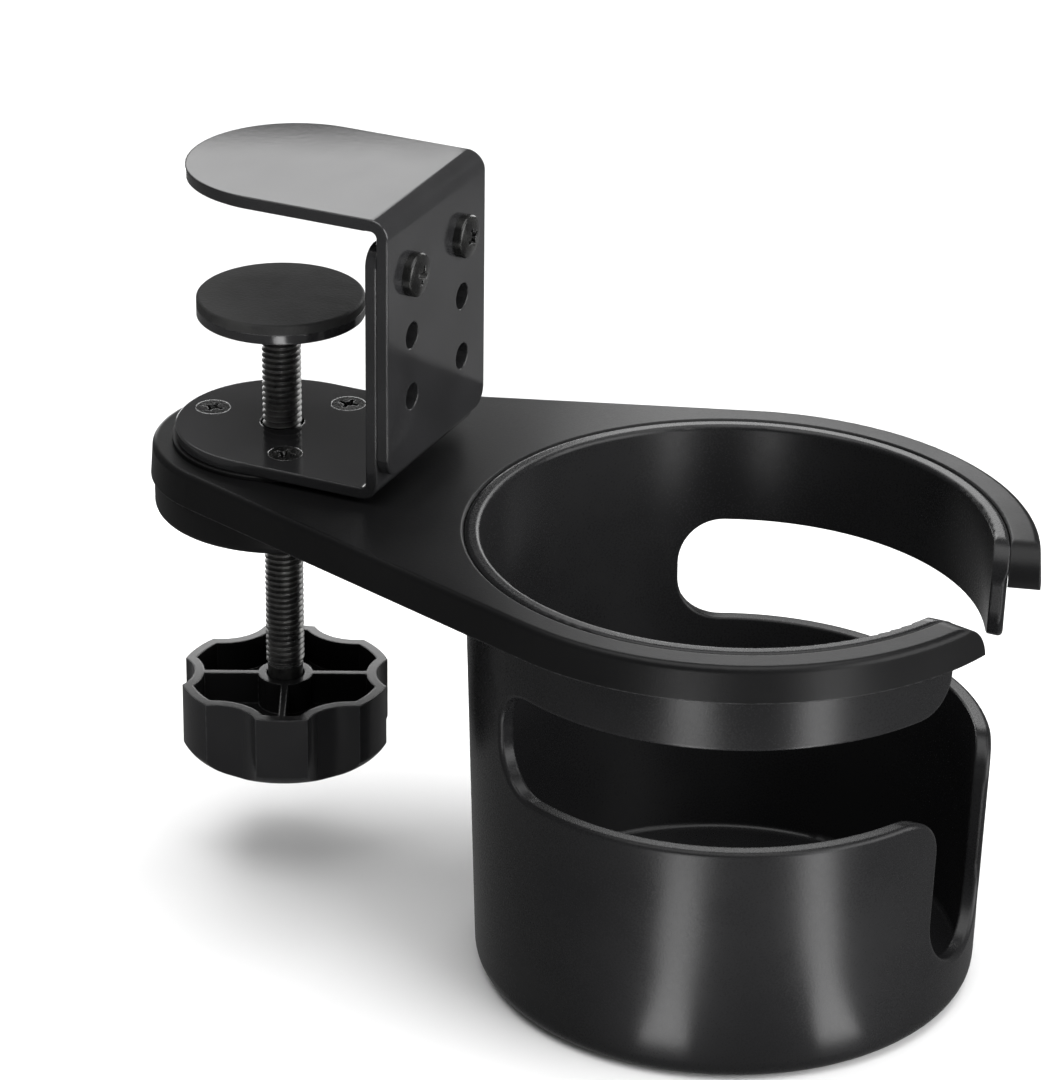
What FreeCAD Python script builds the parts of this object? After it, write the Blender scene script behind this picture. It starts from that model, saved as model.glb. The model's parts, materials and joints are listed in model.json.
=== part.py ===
import FreeCAD, Part
import math
import os

# Desk clamp cup holder, millimetres, +Z up.
# Origin: clamp screw axis, at the clamping face of the upper jaw pad (the desk top surface).
# +X runs from the clamp screw towards the cup, the clamp is symmetric about Y = 0.

os.makedirs("parts", exist_ok=True)

V = FreeCAD.Vector
UP = V(0, 0, 1)
TO_CUP = V(1, 0, 0)
AXIS = V(0, 0, 0)

# ---- bent steel brackets ------------------------------------------------------
PLATE_T = 2.5            # sheet thickness of both brackets
BRACKET_W = 43.5         # width of both brackets
FACE_X = 35.0            # outer face of the upper bracket
BEND_R = 1.3             # inside bend radius
CORNER_R = 4.0           # rounded free corners of the vertical plates
EDGE_R = 0.35            # broken sheet edges
JAW_PAD_T = 0.5          # rubber sheet under the upper jaw
JAW_PAD_INSET = 1.2
JAW_PAD_BEND_GAP = 0.5   # the sheet stops short of the lower bracket
UPPER_TIP_X = -18.2      # rounded tip of the upper jaw
UPPER_BOTTOM_Z = -51.3
LOWER_TOP_Z = -3.0
FOOT_TOP_Z = -54.0
HOLE_Y = 11.2            # two columns of bolt holes
HOLE_TOP_Z = -11.2
HOLE_PITCH = 13.0
HOLE_ROWS = 3
HOLE_R = 2.75            # clearance hole in the upper bracket
TAPPED_R = 2.5           # tapped hole in the lower bracket
ROD_HOLE_R = 4.5

# ---- M5 pan head screws ---------------------------------------------------------
PAN_R = 4.4
PAN_H = 2.6              # in the middle of the domed head
PAN_DOME = 0.8           # how far the dome drops towards its rim
PAN_EDGE_R = 0.5
PAN_SHANK = 4.7
RECESS_TURN = 20.0       # the two cross recesses lean opposite ways

# ---- M4 countersunk foot screws and their inserts -----------------------------
FOOT_SCREW_PCR = 16.0    # pitch circle radius about the clamp screw
FOOT_SCREW_ANGLES = {"a": -60.0, "b": 60.0, "c": 180.0}
CSK_R = 3.55
CSK_H = 1.7
CSK_SHANK_R = 2.0
CSK_LENGTH = 14.0
CSK_HOLE_R = 2.15
INSERT_R = 2.7
INSERT_L = 8.0

# ---- cross recess --------------------------------------------------------------
RECESS_SPAN = 4.4
RECESS_SLOT = 0.95
RECESS_DEPTH = 1.5
RECESS_CORE_R = 1.15
RECESS_TIP_R = 0.3

# ---- swivel ---------------------------------------------------------------------
ARM_TOP_Z = -57.5
ARM_H = 7.2              # height of the arm skirt
SWIVEL_GAP = 0.05        # axial running gap on each side of the arm
DISC_R = 22.4
DISC_BORE_R = 4.6
BOSS_R = 20.0
BOSS_FIT = 0.06          # radial running clearance in the arm
LINER_T = 0.5            # low friction ring under the arm
LINER_R = 24.4
HUB_R = 26.2
HUB_BOTTOM_Z = -72.0
HUB_EDGE_R = 1.6
NUT_AF = 13.0            # M8 hexagon nut
NUT_H = 6.5
NUT_BORE_R = 4.05

# ---- arm --------------------------------------------------------------------------
CUP_X = 100.3            # cup axis
ARM_END_R = 26.4
RING_R = 59.2
ARM_DRAFT = 0.5          # how far the skirt flares over its height
ARM_EDGE_R = 1.2
RING_BORE_EDGE = 0.4     # bevel round the top of the bore, shows as a fine seam
ARM_SKIN = 3.0
ARM_WALL = 2.8
ARM_BOSS_R = 24.6
ARM_RIB_T = 2.2
ARM_RIB_Y = 15.0
GAP_HALF_ANGLE = 15.0    # opening of the ring, each side of the arm axis
RING_END_ANGLE = 4.0     # solid end of the ring beyond its pocket, measured round the ring

# ---- cup ---------------------------------------------------------------------------
CUP_TOP_R = 53.35
CUP_DRAFT = 0.030        # wall taper, mm per mm of depth
CUP_H = 95.0
CUP_WALL = 3.2
CUP_FLOOR = 3.0
CUP_FOOT_R = 4.5
CUP_CORE_R = 1.0
LIP_IN_R = 0.9
RING_FIT = 0.1
WINDOW_TOP = 21.0        # depths below the rim
WINDOW_BOTTOM = 43.3
WINDOW_HALF_ANGLE = 126.0
WINDOW_R = 9.5
BAND_CORNER_R = 8.0
SLOT_HALF_W = 13.5
SLOT_BOTTOM = 82.0
OPENING_EDGE = 0.9       # rounding round every opening, outside
OPENING_INNER_EDGE = 0.5 # and inside

# ---- clamp screw, knob and pressure pad ------------------------------------------------
ROD_R = 4.0              # M8
KNOB_R = 22.0
KNOB_TOP_Z = -111.3
KNOB_H = 16.5
KNOB_LOBES = 6
KNOB_LOBE_ANGLE = -4.5
KNOB_SCALLOP_R = 9.6
KNOB_WAIST_R = 19.0
KNOB_WALL = 2.1
KNOB_POCKET = 7.0
KNOB_HUB_R = 5.7
KNOB_RIB_T = 1.4
KNOB_RIB_TURN = 30.0     # ribs run to the waists, from the lobes
KNOB_EDGE_R = 5.5
HEAD_AF = 13.0           # bolt head, moulded into the knob
HEAD_H = 5.0
HEAD_COVER = 0.8         # plastic over the head
PAD_TOP_Z = -26.0        # rests under a 26 mm desk
PAD_R = 17.0
PAD_RUBBER_T = 2.0
PAD_PLATE_T = 2.0
PAD_BOSS_R = 6.5
PAD_BOSS_H = 4.0
NECK_R = 2.6
NECK_FIT = 0.08
NECK_RECESS = 0.3        # the tip stays this far below the plate's face
CLIP_POCKET = 1.4
CLIP_POCKET_FIT = 0.4
CLIP_RISE = 0.15         # the clip runs this far above its seat
CLIP_SLOT = 2.6
RUBBER_EDGE_R = 0.6
CLIP_R = 4.2
CLIP_T = 0.5
CLIP_BORE_R = 2.1

# ---- overruns and tolerances of the construction ---------------------------------------
TOUCH = 0.01             # positions closer than this are the same
WALL_TOUCH = 0.02
CORNER_OVERRUN = 0.9     # corner tools reach this far past the plane they round
ENVELOPE_OVERRUN = 0.5
EDGE_SAMPLES = 5

# ---- derived heights ---------------------------------------------------------------------
JAW_TOP_Z = JAW_PAD_T + PLATE_T
FOOT_BOTTOM_Z = FOOT_TOP_Z - PLATE_T
DISC_BOTTOM_Z = ARM_TOP_Z + SWIVEL_GAP
ARM_BOTTOM_Z = ARM_TOP_Z - ARM_H
LINER_TOP_Z = ARM_BOTTOM_Z - SWIVEL_GAP
FLANGE_TOP_Z = LINER_TOP_Z - LINER_T
CUP_BOTTOM_Z = ARM_TOP_Z - CUP_H
PLATE_TOP_Z = PAD_TOP_Z - PAD_RUBBER_T
BOSS_BOTTOM_Z = PLATE_TOP_Z - PAD_PLATE_T - PAD_BOSS_H


def save(shape, name):
    """Write one node as a single valid solid."""
    clean = shape.removeSplitter()
    solid = clean.Solids[0] if len(clean.Solids) == 1 else clean
    print(name, len(clean.Solids), "solids", solid.isValid(), round(solid.Volume, 1))
    solid.exportStep("parts/" + name + ".step")


def box(x0, x1, y0, y1, z0, z1):
    return Part.makeBox(x1 - x0, y1 - y0, z1 - z0, V(x0, y0, z0))


def cyl(radius, z0, z1, x=0.0, y=0.0):
    return Part.makeCylinder(radius, z1 - z0, V(x, y, z0), UP)


def hexagon(across_flats, z0, z1):
    corner_r = across_flats / math.sqrt(3)
    points = []
    for i in range(7):
        a = math.radians(60 * i)
        points.append(V(corner_r * math.cos(a), corner_r * math.sin(a), z0))
    return Part.Face(Part.makePolygon(points)).extrude(V(0, 0, z1 - z0))


def screw_positions():
    for key, angle in FOOT_SCREW_ANGLES.items():
        a = math.radians(angle)
        yield key, FOOT_SCREW_PCR * math.cos(a), FOOT_SCREW_PCR * math.sin(a)


# ---- brackets -----------------------------------------------------------------------------
def bent_plate(outer_x, top_z, bottom_z, tip_x, tip_center_x, at_top):
    """L-shaped strip with its bend at outer_x; at_top tells which end carries the flange."""
    ro = BEND_R + PLATE_T
    q = math.sqrt(0.5)
    zc = top_z - ro
    xc = outer_x - ro
    xi = outer_x - PLATE_T
    edges = [
        Part.makeLine(V(tip_x, 0, top_z), V(xc, 0, top_z)),
        Part.Arc(V(xc, 0, top_z), V(xc + ro * q, 0, zc + ro * q), V(outer_x, 0, zc)).toShape(),
        Part.makeLine(V(outer_x, 0, zc), V(outer_x, 0, bottom_z)),
        Part.makeLine(V(outer_x, 0, bottom_z), V(xi, 0, bottom_z)),
        Part.makeLine(V(xi, 0, bottom_z), V(xi, 0, zc)),
        Part.Arc(V(xi, 0, zc), V(xc + BEND_R * q, 0, zc + BEND_R * q),
                 V(xc, 0, top_z - PLATE_T)).toShape(),
        Part.makeLine(V(xc, 0, top_z - PLATE_T), V(tip_x, 0, top_z - PLATE_T)),
        Part.makeLine(V(tip_x, 0, top_z - PLATE_T), V(tip_x, 0, top_z)),
    ]
    half = BRACKET_W / 2
    strip = Part.Face(Part.Wire(edges)).extrude(V(0, BRACKET_W, 0))
    strip.translate(V(0, -half, 0))
    plan = box(tip_center_x, outer_x + 1, -half, half, bottom_z - 1, top_z + 1)
    plan = plan.fuse(cyl(half, bottom_z - 1, top_z + 1, tip_center_x))
    face = box(tip_x - 1, outer_x + 1, -half, half, bottom_z, top_z + 1)
    free = [e for e in face.Edges if e.BoundBox.ZMax < bottom_z + TOUCH and e.BoundBox.YLength < TOUCH]
    face = face.makeFillet(CORNER_R, free)
    plate = strip.common(plan).common(face)
    if not at_top:
        plate = plate.mirror(V(0, 0, (top_z + bottom_z) / 2), UP)
    return plate


def bolt_holes(radius, x0, x1):
    tools = []
    for row in range(HOLE_ROWS):
        for side in (-1, 1):
            origin = V(x0, side * HOLE_Y, HOLE_TOP_Z - row * HOLE_PITCH)
            tools.append(Part.makeCylinder(radius, x1 - x0, origin, TO_CUP))
    return Part.makeCompound(tools)


def broken_edges(plate):
    """Round the long sheet edges of a bracket before any hole is cut."""
    edges = []
    for e in plate.Edges:
        faces = plate.ancestorsOfType(e, Part.Face)
        thin = [f for f in faces if min(f.BoundBox.XLength, f.BoundBox.ZLength) <= PLATE_T + TOUCH]
        if e.Length > PLATE_T + 0.1 and thin:
            edges.append(e)
    return plate.makeFillet(EDGE_R, edges)


half_w = BRACKET_W / 2
upper = bent_plate(FACE_X, JAW_TOP_Z, UPPER_BOTTOM_Z, UPPER_TIP_X, UPPER_TIP_X + half_w, True)
upper = broken_edges(upper.removeSplitter())
upper = upper.cut(bolt_holes(HOLE_R, FACE_X - PLATE_T - 1, FACE_X + 1))
save(upper, "upper_bracket")

pad_half = half_w - JAW_PAD_INSET
pad_end_x = FACE_X - 2 * PLATE_T - JAW_PAD_BEND_GAP
jaw_pad = box(UPPER_TIP_X + half_w, pad_end_x, -pad_half, pad_half, 0, JAW_PAD_T)
jaw_pad = jaw_pad.fuse(cyl(pad_half, 0, JAW_PAD_T, UPPER_TIP_X + half_w))
save(jaw_pad, "upper_jaw_pad")

lower = bent_plate(FACE_X - PLATE_T, LOWER_TOP_Z, FOOT_BOTTOM_Z, -half_w, 0.0, False)
lower = broken_edges(lower.removeSplitter())
lower = lower.cut(bolt_holes(TAPPED_R, FACE_X - 2 * PLATE_T - 1, FACE_X))
lower = lower.cut(cyl(ROD_HOLE_R, FOOT_BOTTOM_Z - 1, FOOT_TOP_Z + 1))
for key, x, y in screw_positions():
    lower = lower.cut(cyl(CSK_HOLE_R, FOOT_BOTTOM_Z - 1, FOOT_TOP_Z + 1, x, y))
    cone = Part.makeCone(CSK_SHANK_R, CSK_R, CSK_H, V(x, y, FOOT_TOP_Z - CSK_H), UP)
    lower = lower.cut(cone)
save(lower, "lower_bracket")


# ---- fasteners of the clamp -------------------------------------------------------------------
def cross_recess(depth):
    """Cross recess pointing down from z = 0."""
    half = RECESS_SPAN / 2
    slot = RECESS_SLOT / 2
    cross = box(-half, half, -slot, slot, -depth, 1).fuse(box(-slot, slot, -half, half, -depth, 1))
    wings = Part.makeCone(RECESS_CORE_R, half, depth, V(0, 0, -depth), UP).fuse(cyl(half, 0, 1))
    core = Part.makeCone(RECESS_TIP_R, RECESS_CORE_R, depth, V(0, 0, -depth), UP)
    return cross.common(wings).fuse(core)


def pan_screw():
    """Domed pan head screw along +Z: head top at PAN_H, shank below z = 0."""
    dome_r = (PAN_R ** 2 + PAN_DOME ** 2) / (2 * PAN_DOME)
    head = cyl(PAN_R, 0, PAN_H).common(Part.makeSphere(dome_r, V(0, 0, PAN_H - dome_r)))
    rim_z = PAN_H - PAN_DOME
    rim = [e for e in head.Edges if abs(e.BoundBox.ZMin - rim_z) < TOUCH and e.BoundBox.ZLength < TOUCH]
    head = head.makeFillet(PAN_EDGE_R, rim)
    recess = cross_recess(RECESS_DEPTH)
    recess.translate(V(0, 0, PAN_H))
    return head.fuse(cyl(TAPPED_R, -PAN_SHANK, 0)).cut(recess)


for side, label in ((-1, "near"), (1, "far")):
    seat = FreeCAD.Placement(V(FACE_X, side * HOLE_Y, HOLE_TOP_Z), FreeCAD.Rotation(UP, TO_CUP))
    screw = pan_screw()
    screw.rotate(AXIS, UP, RECESS_TURN * side)
    screw.Placement = seat.multiply(screw.Placement)
    save(screw, "joint_screw_" + label)

for key, x, y in screw_positions():
    head = Part.makeCone(CSK_SHANK_R, CSK_R, CSK_H, V(0, 0, -CSK_H), UP)
    screw = head.fuse(cyl(CSK_SHANK_R, -CSK_LENGTH, -CSK_H)).cut(cross_recess(RECESS_DEPTH))
    screw.translate(V(x, y, FOOT_TOP_Z))
    save(screw, "foot_screw_" + key)
    insert = cyl(INSERT_R, DISC_BOTTOM_Z - INSERT_L, DISC_BOTTOM_Z, x, y)
    insert = insert.cut(cyl(CSK_SHANK_R, DISC_BOTTOM_Z - INSERT_L - 1, DISC_BOTTOM_Z + 1, x, y))
    save(insert, "hub_insert_" + key)


# ---- swivel --------------------------------------------------------------------------------------
disc = cyl(DISC_R, DISC_BOTTOM_Z, FOOT_BOTTOM_Z).cut(cyl(DISC_BORE_R, DISC_BOTTOM_Z - 1, FOOT_TOP_Z))
hub = cyl(HUB_R, HUB_BOTTOM_Z, FLANGE_TOP_Z)
hub = hub.makeFillet(HUB_EDGE_R, [e for e in hub.Edges if e.BoundBox.ZMax < HUB_BOTTOM_Z + TOUCH])
hub = hub.fuse(cyl(BOSS_R, FLANGE_TOP_Z, DISC_BOTTOM_Z))
hub = hub.cut(cyl(DISC_BORE_R, HUB_BOTTOM_Z - 1, ARM_TOP_Z + 1))
hub = hub.cut(hexagon(NUT_AF, DISC_BOTTOM_Z - NUT_H, DISC_BOTTOM_Z + 1))
for key, x, y in screw_positions():
    disc = disc.cut(cyl(CSK_HOLE_R, DISC_BOTTOM_Z - 1, FOOT_TOP_Z, x, y))
    hub = hub.cut(cyl(INSERT_R, DISC_BOTTOM_Z - INSERT_L, DISC_BOTTOM_Z + 1, x, y))
    hub = hub.cut(cyl(CSK_HOLE_R, FOOT_TOP_Z - CSK_LENGTH - 1, DISC_BOTTOM_Z, x, y))
save(disc, "swivel_disc")
save(hub, "swivel_hub")

liner = cyl(LINER_R, FLANGE_TOP_Z, LINER_TOP_Z).cut(cyl(BOSS_R, FLANGE_TOP_Z - 1, ARM_TOP_Z))
save(liner, "swivel_liner")

nut = hexagon(NUT_AF, DISC_BOTTOM_Z - NUT_H, DISC_BOTTOM_Z)
nut = nut.cut(cyl(NUT_BORE_R, HUB_BOTTOM_Z, ARM_TOP_Z + 1))
save(nut, "clamp_nut")


# ---- arm ---------------------------------------------------------------------------------------------
def arm_outline(end_r, ring_r, z):
    """Closed outline tangent to the hub end and to the ring."""
    lean = math.asin((ring_r - end_r) / CUP_X)
    nx, ny = -math.sin(lean), math.cos(lean)
    end_far = V(end_r * nx, end_r * ny, z)
    end_near = V(end_r * nx, -end_r * ny, z)
    ring_far = V(CUP_X + ring_r * nx, ring_r * ny, z)
    ring_near = V(CUP_X + ring_r * nx, -ring_r * ny, z)
    return Part.Wire([
        Part.Arc(end_far, V(-end_r, 0, z), end_near).toShape(),
        Part.makeLine(end_near, ring_near),
        Part.Arc(ring_near, V(CUP_X + ring_r, 0, z), ring_far).toShape(),
        Part.makeLine(ring_far, end_far),
    ])


def corner_sliver(radius, z_face, into):
    """Sliver between a sharp corner and its rounding, along +X, for a body at negative Y with
    a horizontal face at z_face; into is -1 when the body lies below that face."""
    z_center = z_face + into * radius
    inner_x = CUP_TOP_R / 2
    outer_x = RING_R + radius
    z_low, z_high = min(z_face, z_center), max(z_face, z_center)
    block = box(inner_x, outer_x, -radius, CORNER_OVERRUN, z_low, z_high)
    roll = Part.makeCylinder(radius, outer_x - inner_x, V(inner_x, -radius, z_center), TO_CUP)
    return block.cut(roll)


def end_corner(radius, z_face, into, half_angle, side):
    """Corner sliver where the body ends at a radial plane of the cup axis, at half_angle."""
    tool = corner_sliver(radius, z_face, into)
    if side < 0:
        tool = tool.mirror(AXIS, V(0, 1, 0))
    tool.rotate(AXIS, UP, side * half_angle)
    tool.translate(V(CUP_X, 0, 0))
    return tool


def ring_wedge(half_angle):
    """Wedge about the cup axis, open away from the clamp."""
    wedge = Part.makeCylinder(2 * RING_R, 3 * ARM_H, AXIS, UP, 2 * half_angle)
    wedge.rotate(AXIS, UP, -half_angle)
    wedge.translate(V(CUP_X, 0, ARM_BOTTOM_Z - ARM_H))
    return wedge


arm = Part.makeLoft([
    arm_outline(ARM_END_R + ARM_DRAFT, RING_R + ARM_DRAFT, ARM_BOTTOM_Z),
    arm_outline(ARM_END_R, RING_R, ARM_TOP_Z),
], True, True)
arm = arm.makeFillet(ARM_EDGE_R, [e for e in arm.Edges if e.BoundBox.ZMin > ARM_TOP_Z - TOUCH])

pocket = Part.Face(arm_outline(ARM_END_R - ARM_WALL, RING_R - ARM_WALL, ARM_BOTTOM_Z - 1))
pocket = pocket.extrude(V(0, 0, ARM_H + 1 - ARM_SKIN))
pocket = pocket.cut(cyl(ARM_BOSS_R, ARM_BOTTOM_Z - 2, ARM_TOP_Z))
pocket = pocket.cut(cyl(CUP_TOP_R + ARM_WALL, ARM_BOTTOM_Z - 2, ARM_TOP_Z, CUP_X))
pocket = pocket.cut(ring_wedge(GAP_HALF_ANGLE + RING_END_ANGLE))
for rib_y in (-ARM_RIB_Y, 0.0, ARM_RIB_Y):
    rib = box(0, CUP_X, rib_y - ARM_RIB_T / 2, rib_y + ARM_RIB_T / 2, ARM_BOTTOM_Z - 2, ARM_TOP_Z)
    pocket = pocket.cut(rib)
arm = arm.cut(pocket)
arm = arm.cut(cyl(BOSS_R + BOSS_FIT, ARM_BOTTOM_Z - 1, ARM_TOP_Z + 1))

bore_top_r = CUP_TOP_R + RING_FIT
bore_bottom_r = bore_top_r - CUP_DRAFT * ARM_H
arm = arm.cut(Part.makeCone(bore_bottom_r, bore_top_r, ARM_H, V(CUP_X, 0, ARM_BOTTOM_Z), UP))
bevel_z = ARM_TOP_Z - RING_BORE_EDGE
bevel_r = bore_top_r + RING_BORE_EDGE
bore_bevel = Part.makeCone(bore_top_r, bevel_r, RING_BORE_EDGE, V(CUP_X, 0, bevel_z), UP)
arm = arm.cut(bore_bevel)
arm = arm.cut(ring_wedge(GAP_HALF_ANGLE))
for side in (-1, 1):
    arm = arm.cut(end_corner(ARM_H, ARM_TOP_Z, -1, 360 - GAP_HALF_ANGLE, -side))
save(arm, "holder_arm")


# ---- cup ---------------------------------------------------------------------------------------------
def cup_r(depth):
    return CUP_TOP_R - CUP_DRAFT * depth


def rounded_cone(top_r, bottom_r, top_z, bottom_z, edge_r):
    body = Part.makeCone(bottom_r, top_r, top_z - bottom_z, V(CUP_X, 0, bottom_z), UP)
    foot = [e for e in body.Edges if e.BoundBox.ZMax < bottom_z + TOUCH]
    return body.makeFillet(edge_r, foot)


outer = rounded_cone(cup_r(0), cup_r(CUP_H), ARM_TOP_Z, CUP_BOTTOM_Z, CUP_FOOT_R)
floor_z = CUP_BOTTOM_Z + CUP_FLOOR
core_depth = CUP_H - CUP_FLOOR
core_r = cup_r(core_depth) - CUP_WALL
inner = rounded_cone(cup_r(-1) - CUP_WALL, core_r, ARM_TOP_Z + 1, floor_z, CUP_CORE_R)
cup = outer.cut(inner)

# side windows: one wide sector, open towards the front
window = Part.makeCylinder(RING_R, WINDOW_BOTTOM - WINDOW_TOP, AXIS, UP, 2 * WINDOW_HALF_ANGLE)
window = window.cut(cyl(CUP_TOP_R / 2, -1, WINDOW_BOTTOM + 1))
window.rotate(AXIS, UP, -WINDOW_HALF_ANGLE)
window.translate(V(CUP_X, 0, ARM_TOP_Z - WINDOW_BOTTOM))
for side in (-1, 1):
    window = window.cut(end_corner(WINDOW_R, ARM_TOP_Z - WINDOW_BOTTOM, 1, WINDOW_HALF_ANGLE, side))
    window = window.cut(end_corner(WINDOW_R, ARM_TOP_Z - WINDOW_TOP, -1, WINDOW_HALF_ANGLE, side))
cup = cup.cut(window)

# front slot for a mug handle, round at the bottom
slot_center_z = ARM_TOP_Z - SLOT_BOTTOM + SLOT_HALF_W
slot_x = CUP_X + CUP_TOP_R / 2
slot = box(slot_x, CUP_X + RING_R, -SLOT_HALF_W, SLOT_HALF_W, slot_center_z, ARM_TOP_Z + 1)
slot_length = CUP_X + RING_R - slot_x
slot_end = Part.makeCylinder(SLOT_HALF_W, slot_length, V(slot_x, 0, slot_center_z), TO_CUP)
slot = slot.fuse(slot_end)
cup = cup.cut(slot)


def slot_corners(shape, z):
    """Short edges where the slot sides meet the horizontal window faces at height z."""
    found = []
    for e in shape.Edges:
        b = e.BoundBox
        flat = b.ZLength < TOUCH and b.YLength < TOUCH and abs(b.ZMin - z) < TOUCH
        if flat and b.XMin > CUP_X and abs(abs(b.YMin) - SLOT_HALF_W) < TOUCH:
            found.append(e)
    return found


cup = cup.makeFillet(WINDOW_R, slot_corners(cup, ARM_TOP_Z - WINDOW_BOTTOM))
cup = cup.makeFillet(BAND_CORNER_R, slot_corners(cup, ARM_TOP_Z - WINDOW_TOP))


def on_wall(edge, inset, top, bottom):
    """True when the whole edge lies on the wall surface, between two depths below the rim."""
    first, last = edge.ParameterRange
    for i in range(EDGE_SAMPLES):
        p = edge.valueAt(first + (last - first) * i / (EDGE_SAMPLES - 1))
        depth = ARM_TOP_Z - p.z
        off = math.hypot(p.x - CUP_X, p.y) - (cup_r(depth) - inset)
        if abs(off) > WALL_TOUCH or depth < top or depth > bottom:
            return False
    return True


def opening_edges(shape, inset):
    """Edges of the windows and the slot on one side of the wall, without the rim."""
    whole = [e for e in shape.Edges if on_wall(e, inset, -TOUCH, SLOT_BOTTOM + 1)]
    return [e for e in whole if not on_wall(e, inset, -TOUCH, TOUCH)]


cup = cup.makeFillet(OPENING_INNER_EDGE, opening_edges(cup, CUP_WALL))
cup = cup.makeFillet(LIP_IN_R, [e for e in cup.Edges if on_wall(e, CUP_WALL, -TOUCH, TOUCH)])
cup = cup.makeFillet(OPENING_EDGE, opening_edges(cup, 0))

# the rim drops with the ends of the ring on both sides of the slot
for side in (-1, 1):
    corner = corner_sliver(ARM_H, ARM_TOP_Z, -1)
    if side > 0:
        corner = corner.mirror(AXIS, V(0, 1, 0))
    corner.translate(V(CUP_X, side * SLOT_HALF_W, 0))
    cup = cup.cut(corner)
save(cup, "cup_shell")


# ---- knob ----------------------------------------------------------------------------------------------
def lobed_prism(radius, waist_r, scallop_r, z0, z1):
    body = cyl(radius, z0, z1)
    for i in range(KNOB_LOBES):
        a = math.radians(KNOB_LOBE_ANGLE + (i + 0.5) * 360 / KNOB_LOBES)
        reach = waist_r + scallop_r
        body = body.cut(cyl(scallop_r, z0 - 1, z1 + 1, reach * math.cos(a), reach * math.sin(a)))
    return body


knob_bottom_z = KNOB_TOP_Z - KNOB_H
pocket_z = KNOB_TOP_Z - KNOB_POCKET
head_top_z = pocket_z - HEAD_COVER
head_bottom_z = head_top_z - HEAD_H

knob = lobed_prism(KNOB_R, KNOB_WAIST_R, KNOB_SCALLOP_R, knob_bottom_z, KNOB_TOP_Z)
envelope = cyl(KNOB_R + ENVELOPE_OVERRUN, knob_bottom_z, KNOB_TOP_Z + 1)
foot_edge = [e for e in envelope.Edges if e.BoundBox.ZMax < knob_bottom_z + TOUCH]
knob = knob.common(envelope.makeFillet(KNOB_EDGE_R, foot_edge))
hollow = lobed_prism(KNOB_R - KNOB_WALL, KNOB_WAIST_R - KNOB_WALL, KNOB_SCALLOP_R + KNOB_WALL,
                     pocket_z, KNOB_TOP_Z + 1)
hollow = hollow.cut(cyl(KNOB_HUB_R, pocket_z - 1, KNOB_TOP_Z + 2))
for turn in (0, 90):
    rib = box(-KNOB_R, KNOB_R, -KNOB_RIB_T / 2, KNOB_RIB_T / 2, pocket_z, KNOB_TOP_Z + 2)
    rib.rotate(AXIS, UP, KNOB_LOBE_ANGLE + KNOB_RIB_TURN + turn)
    hollow = hollow.cut(rib)
knob = knob.cut(hollow)
knob = knob.cut(hexagon(HEAD_AF, head_bottom_z, head_top_z))
knob = knob.cut(cyl(ROD_R, head_top_z - 1, KNOB_TOP_Z + 1))
save(knob, "knob")


# ---- clamp screw and pressure pad --------------------------------------------------------------------
shoulder_z = BOSS_BOTTOM_Z - SWIVEL_GAP
clip_seat_z = PLATE_TOP_Z - CLIP_POCKET
clip_bottom_z = clip_seat_z + CLIP_RISE
neck_top_z = PLATE_TOP_Z - NECK_RECESS
rod = hexagon(HEAD_AF, head_bottom_z, head_top_z)
rod = rod.fuse(cyl(ROD_R, head_top_z, shoulder_z)).fuse(cyl(NECK_R, shoulder_z, neck_top_z))
groove = cyl(NECK_R + 1, clip_bottom_z, clip_bottom_z + CLIP_T)
groove = groove.cut(cyl(CLIP_BORE_R, clip_bottom_z - 1, neck_top_z + 1))
rod = rod.cut(groove)
save(rod, "clamp_screw")

clip = cyl(CLIP_R, clip_bottom_z, clip_bottom_z + CLIP_T)
clip = clip.cut(cyl(CLIP_BORE_R, clip_bottom_z - 1, clip_bottom_z + 1))
clip_gap = box(0, CLIP_R + 1, -CLIP_SLOT / 2, CLIP_SLOT / 2, clip_bottom_z - 1, clip_bottom_z + 1)
clip = clip.cut(clip_gap)
save(clip, "tip_clip")

plate = cyl(PAD_R, PLATE_TOP_Z - PAD_PLATE_T, PLATE_TOP_Z)
plate = plate.fuse(cyl(PAD_BOSS_R, BOSS_BOTTOM_Z, PLATE_TOP_Z))
plate = plate.cut(cyl(NECK_R + NECK_FIT, BOSS_BOTTOM_Z - 1, PLATE_TOP_Z + 1))
plate = plate.cut(cyl(CLIP_R + CLIP_POCKET_FIT, clip_seat_z, PLATE_TOP_Z + 1))
save(plate, "pressure_plate")

rubber = cyl(PAD_R, PLATE_TOP_Z, PAD_TOP_Z)
rubber_rim = [e for e in rubber.Edges if e.BoundBox.ZMin > PAD_TOP_Z - TOUCH]
save(rubber.makeFillet(RUBBER_EDGE_R, rubber_rim), "pressure_rubber")
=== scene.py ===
import json
import math

import bmesh
import bpy
from mathutils import Euler, Matrix, Vector


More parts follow.
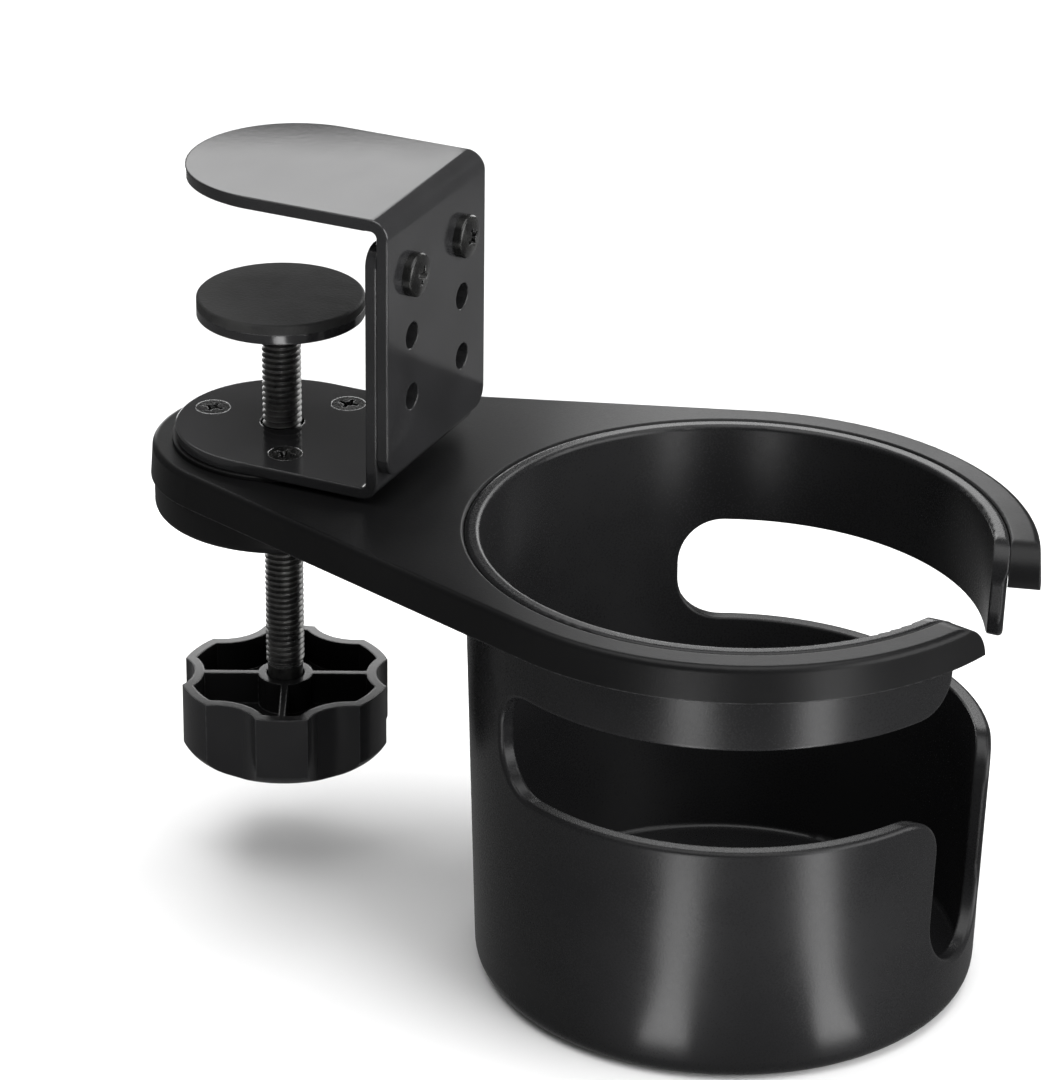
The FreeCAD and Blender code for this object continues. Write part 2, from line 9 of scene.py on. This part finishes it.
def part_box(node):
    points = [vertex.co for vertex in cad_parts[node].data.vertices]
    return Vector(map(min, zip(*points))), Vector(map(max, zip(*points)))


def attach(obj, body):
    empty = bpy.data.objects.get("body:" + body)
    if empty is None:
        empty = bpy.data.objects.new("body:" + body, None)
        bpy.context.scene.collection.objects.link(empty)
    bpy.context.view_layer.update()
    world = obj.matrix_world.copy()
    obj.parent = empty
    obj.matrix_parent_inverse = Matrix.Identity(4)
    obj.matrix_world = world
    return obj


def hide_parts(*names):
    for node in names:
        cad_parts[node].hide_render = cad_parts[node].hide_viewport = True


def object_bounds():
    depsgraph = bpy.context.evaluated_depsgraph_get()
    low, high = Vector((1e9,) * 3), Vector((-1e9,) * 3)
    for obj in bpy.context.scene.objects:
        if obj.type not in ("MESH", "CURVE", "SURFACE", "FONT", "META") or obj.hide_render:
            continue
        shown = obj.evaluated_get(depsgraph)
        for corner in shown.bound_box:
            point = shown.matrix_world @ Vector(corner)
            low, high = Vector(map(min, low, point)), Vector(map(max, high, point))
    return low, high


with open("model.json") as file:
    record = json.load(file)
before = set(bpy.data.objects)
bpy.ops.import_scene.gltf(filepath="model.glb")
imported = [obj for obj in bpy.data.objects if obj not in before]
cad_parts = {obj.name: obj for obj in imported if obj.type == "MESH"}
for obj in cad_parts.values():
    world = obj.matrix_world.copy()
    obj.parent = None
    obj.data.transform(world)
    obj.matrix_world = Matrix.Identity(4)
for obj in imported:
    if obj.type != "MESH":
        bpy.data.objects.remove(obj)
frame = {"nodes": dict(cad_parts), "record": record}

# Desk clamp cup holder: camera, finishes, the threaded clamp screw, stage and lights.
# Metres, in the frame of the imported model: +Z up, +X from the clamp screw to the cup.

MM = 0.001
nodes = frame["nodes"]
cad_low, cad_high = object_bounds()
middle = (cad_low + cad_high) / 2
scene = bpy.context.scene


# ---- camera ------------------------------------------------------------------------------
CAMERA_AZIMUTH = math.radians(24.97)
CAMERA_ELEVATION = math.radians(25.48)
CAMERA_ROLL = math.radians(0.64)
CAMERA_DISTANCE = 0.9396
CAMERA_LENS = 155.7
CAMERA_SENSOR = 36.0
CAMERA_CLIP = (0.05, 20)
AIM_OFFSET = Vector((-0.0131, 0.0032, 0.0037))   # from the middle of the CAD box


def direction(azimuth, elevation):
    """Unit vector from the object towards a viewer; azimuth 0 stands on the -Y side."""
    flat = math.cos(elevation)
    return Vector((math.sin(azimuth) * flat, -math.cos(azimuth) * flat, math.sin(elevation)))


def make_camera():
    back = direction(CAMERA_AZIMUTH, CAMERA_ELEVATION)
    data = bpy.data.cameras.new("camera")
    data.sensor_width = CAMERA_SENSOR
    data.lens = CAMERA_LENS
    data.clip_start, data.clip_end = CAMERA_CLIP
    camera = bpy.data.objects.new("camera", data)
    scene.collection.objects.link(camera)
    camera.location = middle + AIM_OFFSET + back * CAMERA_DISTANCE
    turn = (-back).to_track_quat("-Z", "Y").to_matrix() @ Matrix.Rotation(CAMERA_ROLL, 3, "Z")
    camera.rotation_euler = turn.to_euler()
    scene.camera = camera


make_camera()


# ---- node helpers ------------------------------------------------------------------------
class Graph:
    """A material's node tree, with short calls for the nodes that the finishes use.

    Texture scales count features per metre, since textures follow the model's own metres.
    """

    def __init__(self, name):
        self.material = bpy.data.materials.new(name)
        self.material.use_nodes = True
        self.tree = self.material.node_tree
        self.shader = self.tree.nodes["Principled BSDF"]
        self.place = self.node("ShaderNodeTexCoord").outputs["Object"]
        self.rounded = None

    def node(self, kind, **settings):
        made = self.tree.nodes.new(kind)
        for key, value in settings.items():
            setattr(made, key, value)
        return made

    def link(self, source, target):
        self.tree.links.new(source, target)

    def feed(self, socket, source):
        """Feed one of the shader's own sockets."""
        self.link(source, self.shader.inputs[socket])

    def value(self, **sockets):
        for key, value in sockets.items():
            self.shader.inputs[key.replace("_", " ")].default_value = value

    def noise(self, scale, detail=2.0, rough=0.5, stretch=None):
        made = self.node("ShaderNodeTexNoise")
        made.inputs["Scale"].default_value = scale
        made.inputs["Detail"].default_value = detail
        made.inputs["Roughness"].default_value = rough
        place = self.place
        if stretch:
            mapping = self.node("ShaderNodeMapping")
            mapping.inputs["Scale"].default_value = stretch
            self.link(self.place, mapping.inputs["Vector"])
            place = mapping.outputs["Vector"]
        self.link(place, made.inputs["Vector"])
        return made.outputs["Fac"]

    def cells(self, scale):
        made = self.node("ShaderNodeTexVoronoi", feature="F1")
        made.inputs["Scale"].default_value = scale
        self.link(self.place, made.inputs["Vector"])
        return made.outputs["Distance"]

    def remap(self, source, low, high, to_low=0.0, to_high=1.0):
        made = self.node("ShaderNodeMapRange")
        made.inputs["From Min"].default_value = low
        made.inputs["From Max"].default_value = high
        made.inputs["To Min"].default_value = to_low
        made.inputs["To Max"].default_value = to_high
        self.link(source, made.inputs["Value"])
        return made.outputs["Result"]

    def math(self, operation, a, b):
        made = self.node("ShaderNodeMath", operation=operation)
        for socket, item in zip(made.inputs, (a, b)):
            if isinstance(item, (int, float)):
                socket.default_value = item
            else:
                self.link(item, socket)
        return made.outputs["Value"]

    def add(self, a, b):
        return self.math("ADD", a, b)

    def scaled(self, a, b):
        return self.math("MULTIPLY", a, b)

    def mix(self, factor, a, b):
        made = self.node("ShaderNodeMix", data_type="RGBA")
        self.link(factor, made.inputs["Factor"])
        for socket, item in ((made.inputs["A"], a), (made.inputs["B"], b)):
            if isinstance(item, tuple):
                socket.default_value = (*item, 1.0)
            else:
                self.link(item, socket)
        return made.outputs["Result"]

    def edges(self, radius, low=0.02, high=0.25):
        """1 along convex edges and 0 on open surface, from how far a bevelled normal turns."""
        bevel = self.node("ShaderNodeBevel", samples=4)
        bevel.inputs["Radius"].default_value = radius
        self.rounded = bevel.outputs["Normal"]
        normal = self.node("ShaderNodeNewGeometry").outputs["Normal"]
        dot = self.node("ShaderNodeVectorMath", operation="DOT_PRODUCT")
        self.link(bevel.outputs["Normal"], dot.inputs[0])
        self.link(normal, dot.inputs[1])
        return self.remap(self.math("SUBTRACT", 1.0, dot.outputs["Value"]), low, high)

    def bump(self, height, distance):
        """Relief on top of the softly rounded edges, where the finish has those."""
        made = self.node("ShaderNodeBump")
        made.inputs["Distance"].default_value = distance
        self.link(height, made.inputs["Height"])
        if self.rounded:
            self.link(self.rounded, made.inputs["Normal"])
        self.feed("Normal", made.outputs["Normal"])


def grey(level, tint=0.0):
    """Grey of one level, with its blue raised or lowered by a share of it."""
    return (level, level, level * (1 + tint))


# ---- finishes ----------------------------------------------------------------------------
MOULDED_EDGE = 0.5 * MM           # reach of the lighter, rounded edges of each finish: partly wear, partly painted highlight
COATED_EDGE = 0.45 * MM
PLATED_EDGE = 0.25 * MM
COAT_RELIEF = 0.008 * MM          # height of the relief of each finish
PLATED_RELIEF = 0.012 * MM
BRASS_RELIEF = 0.01 * MM
RUBBER_RELIEF = 0.04 * MM


def moulded(name, level, edge_wear_and_highlight, rough, spread, specular, grain, relief):
    """Black injection moulding: spark-eroded grain, uneven sheen, lighter edges that are partly
    scuffs and partly a painted highlight.
    """
    g = Graph(name)
    cloud = g.noise(38, detail=3.0)
    fine = g.noise(grain, detail=3.0, rough=0.62)
    patches = g.remap(g.noise(900, detail=4.0, rough=0.7), 0.42, 0.62, to_low=0.25)
    # Lighter colour along convex edges: partly scuffed wear, partly painted highlight where edges
    # catch the light.
    wear_and_highlight = g.scaled(g.edges(MOULDED_EDGE), patches)
    body = g.mix(g.remap(cloud, 0.3, 0.7), grey(level * 0.85, 0.06), grey(level * 1.15, 0.04))
    g.feed("Base Color", g.mix(wear_and_highlight, body, grey(edge_wear_and_highlight, 0.02)))
    sheen = g.remap(cloud, 0.3, 0.7, rough - spread, rough + spread)
    speck = g.remap(fine, 0.35, 0.65, -0.03, 0.03)
    g.feed("Roughness", g.math("SUBTRACT", g.add(sheen, speck), g.scaled(wear_and_highlight, 0.08)))
    g.value(Specular_IOR_Level=specular)
    g.bump(fine, relief)
    return g.material


def powder_coat(name):
    """Gloss black powder coat on steel: orange peel, faint dust nibs, lighter edges that are partly
    thin worn coat and partly a painted highlight.
    """
    g = Graph(name)
    peel = g.noise(620, rough=0.4)
    nibs = g.remap(g.cells(420), 0.0, 0.16, to_low=1.0, to_high=0.0)
    patches = g.remap(g.noise(1100, detail=4.0, rough=0.7), 0.45, 0.62, to_low=0.1)
    # Lighter colour along convex edges: partly worn coat, partly painted highlight where edges
    # catch the light.
    wear_and_highlight = g.scaled(g.edges(COATED_EDGE), patches)
    body = g.mix(g.remap(g.noise(60, detail=3.0), 0.35, 0.65), grey(0.012, 0.04), grey(0.016, 0.05))
    g.feed("Base Color", g.mix(wear_and_highlight, body, grey(0.06, 0.02)))
    haze = g.remap(g.noise(45, detail=4.0, rough=0.6), 0.3, 0.7, 0.10, 0.16)
    g.feed("Roughness", g.add(haze, g.scaled(wear_and_highlight, 0.12)))
    g.value(Specular_IOR_Level=0.5)
    g.bump(g.add(peel, g.scaled(nibs, 0.12)), COAT_RELIEF)
    return g.material


def plated(name, level, bare_and_highlight, rough, metallic, stretch=None):
    """Plated or oxidised steel: mottled film, drawn marks, bright edges that are partly bare metal
    where they rub and partly a painted highlight.
    """
    g = Graph(name)
    film = g.noise(320, detail=4.0, rough=0.65)
    marks = g.noise(1500, detail=3.0, rough=0.6, stretch=stretch)
    patches = g.remap(g.noise(1400, detail=4.0, rough=0.7), 0.4, 0.6, to_low=0.1)
    # Bright colour along convex edges: partly bare metal where edges rub, partly painted highlight.
    wear_and_highlight = g.scaled(g.edges(PLATED_EDGE, 0.03, 0.3), patches)
    body = g.mix(g.remap(film, 0.35, 0.65), grey(level * 0.75), grey(level * 1.3, -0.04))
    g.feed("Base Color", g.mix(wear_and_highlight, body, grey(bare_and_highlight)))
    g.feed("Roughness", g.remap(g.add(film, marks), 0.7, 1.3, rough - 0.08, rough + 0.1))
    g.value(Metallic=metallic)
    g.bump(marks, PLATED_RELIEF)
    return g.material


def brass(name):
    """Turned brass with fine lathe rings and a little tarnish."""
    g = Graph(name)
    tarnish = g.remap(g.noise(500, detail=4.0, rough=0.6), 0.4, 0.7)
    g.feed("Base Color", g.mix(tarnish, (0.62, 0.43, 0.17), (0.38, 0.24, 0.09)))
    g.feed("Roughness", g.remap(g.noise(900, detail=3.0), 0.3, 0.7, 0.22, 0.4))
    g.value(Metallic=1.0)
    g.bump(g.noise(1800, stretch=(1, 1, 8)), BRASS_RELIEF)
    return g.material


def rubber(name):
    """Matt black rubber with a fine open texture and chalky bloom."""
    g = Graph(name)
    bloom = g.remap(g.noise(140, detail=5.0, rough=0.65), 0.45, 0.75)
    g.feed("Base Color", g.mix(bloom, grey(0.014), grey(0.030, -0.03)))
    g.feed("Roughness", g.remap(bloom, 0.0, 1.0, 0.62, 0.8))
    g.value(Specular_IOR_Level=0.35)
    g.bump(g.add(g.cells(1300), g.noise(2400, detail=3.0)), RUBBER_RELIEF)
    return g.material


# Each finish's edge grey stands for wear and also for painted highlight along convex edges.
finishes = {
    "powder_coat": powder_coat("powder_coat"),
    "jaw_rubber": rubber("jaw_rubber"),
    "black_zinc": plated("black_zinc", level=0.022, bare_and_highlight=0.32, rough=0.24, metallic=0.7),
    "insert_brass": brass("insert_brass"),
    "hub_plastic": moulded(
        "hub_plastic", level=0.004, edge_wear_and_highlight=0.030, rough=0.40, spread=0.04,
        specular=0.18, grain=2600, relief=0.02 * MM),
    "liner_nylon": moulded(
        "liner_nylon", level=0.010, edge_wear_and_highlight=0.040, rough=0.50, spread=0.05,
        specular=0.25, grain=2200, relief=0.02 * MM),
    "bare_steel": plated("bare_steel", level=0.42, bare_and_highlight=0.60, rough=0.28, metallic=1.0),
    "arm_plastic": moulded(
        "arm_plastic", level=0.004, edge_wear_and_highlight=0.060, rough=0.36, spread=0.03,
        specular=0.12, grain=2600, relief=0.018 * MM),
    "cup_plastic": moulded(
        "cup_plastic", level=0.008, edge_wear_and_highlight=0.085, rough=0.28, spread=0.03,
        specular=0.18, grain=2600, relief=0.015 * MM),
    "knob_plastic": moulded(
        "knob_plastic", level=0.012, edge_wear_and_highlight=0.085, rough=0.17, spread=0.03,
        specular=0.26, grain=1700, relief=0.005 * MM),
    "screw_steel": plated(
        "screw_steel", level=0.110, bare_and_highlight=0.40, rough=0.34, metallic=0.85, stretch=(1, 1, 5)),
    "plate_steel": powder_coat("plate_steel"),
}
slot_of = {part["node"]: part["material_slot"] for part in frame["record"]["subparts"]}


def dress(piece, slot):
    piece.data.materials.clear()
    piece.data.materials.append(finishes[slot])


for name, node in nodes.items():
    dress(node, slot_of[name])


# ---- threaded clamp screw ----------------------------------------------------------------
PITCH = 1.25 * MM                 # M8 coarse
MAJOR_R = 4.0 * MM
MINOR_R = 3.30 * MM
CREST = 0.125                     # widths of the flats at the crest and the root, in pitches
ROOT = 0.25
THREAD_COLUMNS = 56
ROWS_PER_PITCH = 10
RUNOUT_R = MINOR_R - 0.1 * MM     # where the cones that end the thread start
RUNOUT_SLOPE = 1.1                # their radius over height
PLAIN_SHANK = 2.6 * MM            # unthreaded length above the knob's collar
SHANK_R = MINOR_R + 0.35 * MM
HEAD_H = 5.0 * MM
HEAD_AF = 13.0 * MM
HEAD_SIDES = 6
NECK_R = 2.6 * MM
GROOVE_R = 2.1 * MM
TIP_R = NECK_R - 0.2 * MM
SMOOTH_ANGLE = math.radians(35)
WELD = 1e-7                       # metres
END_REACH = 1e-6                  # metres


def thread_r(turns):
    """Radius of the thread profile at a position along one pitch, 0 to 1."""
    flank = (1 - CREST - ROOT) / 2
    t = turns % 1.0
    if t < CREST:
        return MAJOR_R
    if t < CREST + flank:
        return MAJOR_R + (MINOR_R - MAJOR_R) * (t - CREST) / flank
    if t < CREST + flank + ROOT:
        return MINOR_R
    return MINOR_R + (MAJOR_R - MINOR_R) * (t - CREST - flank - ROOT) / flank


def at(mesh, radius, turn, z):
    """New vertex on a circle about the screw axis; turn counts whole turns."""
    angle = 2 * math.pi * turn
    return mesh.verts.new((radius * math.cos(angle), radius * math.sin(angle), z))


def thread(mesh, bottom, top):
    """Rows of vertices that follow the helix, flattened where they run past either end."""
    row_step = PITCH / ROWS_PER_PITCH
    rows = int((top - bottom + 2 * PITCH) / row_step)
    grid = []
    for row in range(rows + 1):
        line = []
        for column in range(THREAD_COLUMNS):
            share = column / THREAD_COLUMNS
            z = bottom - PITCH + row * row_step + PITCH * share
            z = min(max(z, bottom), top)
            end_cone = RUNOUT_R + min(z - bottom, top - z) * RUNOUT_SLOPE
            radius = min(thread_r(row / ROWS_PER_PITCH), end_cone)
            line.append(at(mesh, radius, share, z))
        grid.append(line)
    for row in range(rows):
        for column in range(THREAD_COLUMNS - 1):
            mesh.faces.new((grid[row][column], grid[row][column + 1],
                            grid[row + 1][column + 1], grid[row + 1][column]))
        ahead = row + ROWS_PER_PITCH
        if ahead < rows:
            mesh.faces.new((grid[row][-1], grid[ahead][0], grid[ahead + 1][0], grid[row + 1][-1]))
    bmesh.ops.remove_doubles(mesh, verts=mesh.verts, dist=WELD)
    bmesh.ops.dissolve_degenerate(mesh, edges=mesh.edges, dist=WELD)


def close_end(mesh, z):
    """Fill the open end of the thread at height z."""
    rim = [e for e in mesh.edges if e.is_boundary and abs(e.verts[0].co.z - z) < END_REACH]
    if rim:
        bmesh.ops.contextual_create(mesh, geom=rim)


def turned(mesh, profile, count=THREAD_COLUMNS):
    """Closed body with count sides through (radius, z) pairs, from the bottom up."""
    rings = [[at(mesh, radius, i / count, z) for i in range(count)] for radius, z in profile]
    for low, high in zip(rings, rings[1:]):
        for i in range(count):
            j = (i + 1) % count
            mesh.faces.new((low[i], low[j], high[j], high[i]))
    mesh.faces.new(list(reversed(rings[0])))
    mesh.faces.new(rings[-1])


def finish_piece(mesh, name, body, slot):
    bmesh.ops.recalc_face_normals(mesh, faces=mesh.faces)
    data = bpy.data.meshes.new(name)
    mesh.to_mesh(data)
    mesh.free()
    piece = bpy.data.objects.new(name, data)
    scene.collection.objects.link(piece)
    data.shade_smooth()
    data.set_sharp_from_angle(angle=SMOOTH_ANGLE)
    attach(piece, body)
    dress(piece, slot)
    return piece


def make_clamp_screw():
    """Hexagon head inside the knob, plain shank, thread, and the grooved neck for the clip."""
    low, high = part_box("clamp_screw")
    thread_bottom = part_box("knob")[1].z + PLAIN_SHANK
    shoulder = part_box("pressure_plate")[0].z
    clip_low, clip_high = (corner.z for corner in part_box("tip_clip"))
    head_top = low.z + HEAD_H
    mesh = bmesh.new()
    thread(mesh, thread_bottom, shoulder)
    close_end(mesh, thread_bottom)
    close_end(mesh, shoulder)
    turned(mesh, [(SHANK_R, head_top), (SHANK_R, thread_bottom)])
    turned(mesh, [(NECK_R, shoulder), (NECK_R, clip_low), (GROOVE_R, clip_low),
                  (GROOVE_R, clip_high), (NECK_R, clip_high), (TIP_R, high.z)])
    corner = HEAD_AF / math.sqrt(3)
    turned(mesh, [(corner, low.z), (corner, head_top)], HEAD_SIDES)
    piece = finish_piece(mesh, "threaded_screw", "screw", "screw_steel")
    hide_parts("clamp_screw")


make_clamp_screw()


# ---- stage -------------------------------------------------------------------------------
FLOOR_HALF = 6.0
FLOOR_LEVELS = (0.78, 0.82)


def make_floor():
    corners = ((-1, -1), (1, -1), (1, 1), (-1, 1))
    data = bpy.data.meshes.new("floor")
    data.from_pydata([(x * FLOOR_HALF, y * FLOOR_HALF, cad_low.z) for x, y in corners],
                     [], [(0, 1, 2, 3)])
    floor = bpy.data.objects.new("floor", data)
    scene.collection.objects.link(floor)
    paint = Graph("floor_paint")
    dark, light = FLOOR_LEVELS
    paint.feed("Base Color", paint.mix(paint.noise(3, detail=3.0), grey(dark), grey(light)))
    paint.value(Roughness=0.9, Specular_IOR_Level=0.1)
    data.materials.append(paint.material)
    floor.visible_glossy = False      # gloss mirrors the even studio world in place of the floor


make_floor()


# ---- light -------------------------------------------------------------------------------
BACKDROP_GAP = 0.13               # from the frame's origin
CUP_WALL_R = 51                   # mm, half way down the cup
SHEEN_STEPS = (60, 90, 130, 190, 280, 400)       # mm from the cup's axis
GLOW_Z = cad_low.z + 1 * MM       # just clear of the floor
FACE_UP = math.pi                 # turn about X that points a panel upwards
WORLD_STRENGTH = 0.20


def panel(name, place, turn, width, height, radiance):
    """Soft rectangular light that shines along its own -Z, hidden from the camera."""
    data = bpy.data.lights.new(name, "AREA")
    data.shape = "RECTANGLE"
    data.size = width
    data.size_y = height
    data.energy = radiance * math.pi * width * height
    light = bpy.data.objects.new(name, data)
    scene.collection.objects.link(light)
    light.location = place
    light.rotation_euler = turn
    light.visible_camera = False


def studio(name, azimuth, elevation, distance, width, height, radiance):
    """Panel round the object; azimuth in degrees from the camera's, positive to its right."""
    towards = direction(CAMERA_AZIMUTH + math.radians(azimuth), math.radians(elevation))
    turn = towards.to_track_quat("Z", "Y").to_euler()
    panel(name, middle + towards * distance, turn, width, height, radiance)


def backdrop(name, left, right, bottom, top, radiance):
    """Part of the bright wall that flat tops mirror to the camera, in mm across that wall."""
    side = Vector((math.cos(CAMERA_AZIMUTH), math.sin(CAMERA_AZIMUTH), 0))
    away = direction(CAMERA_AZIMUTH + math.pi, CAMERA_ELEVATION)
    upward = away.cross(side) * -1
    place = away * BACKDROP_GAP + side * (left + right) / 2 * MM + upward * (bottom + top) / 2 * MM
    turn = Matrix((side * -1, upward, away)).transposed().to_euler()
    panel(name, place, turn, (right - left) * MM, (top - bottom) * MM, radiance)


def sheen(name, azimuth, spread, radiance, fade):
    """Glow just above the floor that widens and fades away from the cup, mirrored upright."""
    low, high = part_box("cup_shell")
    axis = Vector(((low.x + high.x) / 2, 0, 0))
    out = direction(CAMERA_AZIMUTH + math.radians(azimuth), 0)
    turn = Euler((FACE_UP, 0, math.atan2(out.y, out.x) + math.pi / 2))
    for i, (near, far) in enumerate(zip(SHEEN_STEPS, SHEEN_STEPS[1:])):
        place = axis + out * (near + far) / 2 * MM
        place.z = GLOW_Z
        width = spread * (near + far - CUP_WALL_R)
        glare = radiance * (SHEEN_STEPS[0] / near) ** fade
        panel(name + "_" + str(i), place, turn, width * MM, (far - near) * MM, glare)


def glow(name, x, y, width, depth, radiance):
    """Low rectangular glow on the floor behind the clamp, mirrored by the upright sheet."""
    place = Vector((x * MM, y * MM, GLOW_Z))
    panel(name, place, Euler((FACE_UP, 0, 0)), width * MM, depth * MM, radiance)


studio("overhead", azimuth=0, elevation=84, distance=3.2, width=3.4, height=3.4, radiance=4.3)
studio("right_fill", azimuth=62, elevation=16, distance=1.8, width=2.0, height=1.6, radiance=6.0)
backdrop("back_high", left=-90, right=35, bottom=-13, top=40, radiance=2.4)
backdrop("back_right", left=62, right=172, bottom=-90, top=0, radiance=4.3)
backdrop("back_low", left=-90, right=60, bottom=-170, top=-94, radiance=4.0)
sheen("left_sheen", azimuth=-17, spread=0.14, radiance=10.5, fade=0.25)
sheen("right_sheen", azimuth=30, spread=0.13, radiance=10.0, fade=0.0)
glow("face_glow", x=147, y=241, width=240, depth=240, radiance=0.15)

world = bpy.data.worlds.new("studio")
world.use_nodes = True
background = world.node_tree.nodes["Background"].inputs
background["Color"].default_value = (1, 1, 1, 1)
background["Strength"].default_value = WORLD_STRENGTH
scene.world = world
scene.view_settings.view_transform = "Standard"
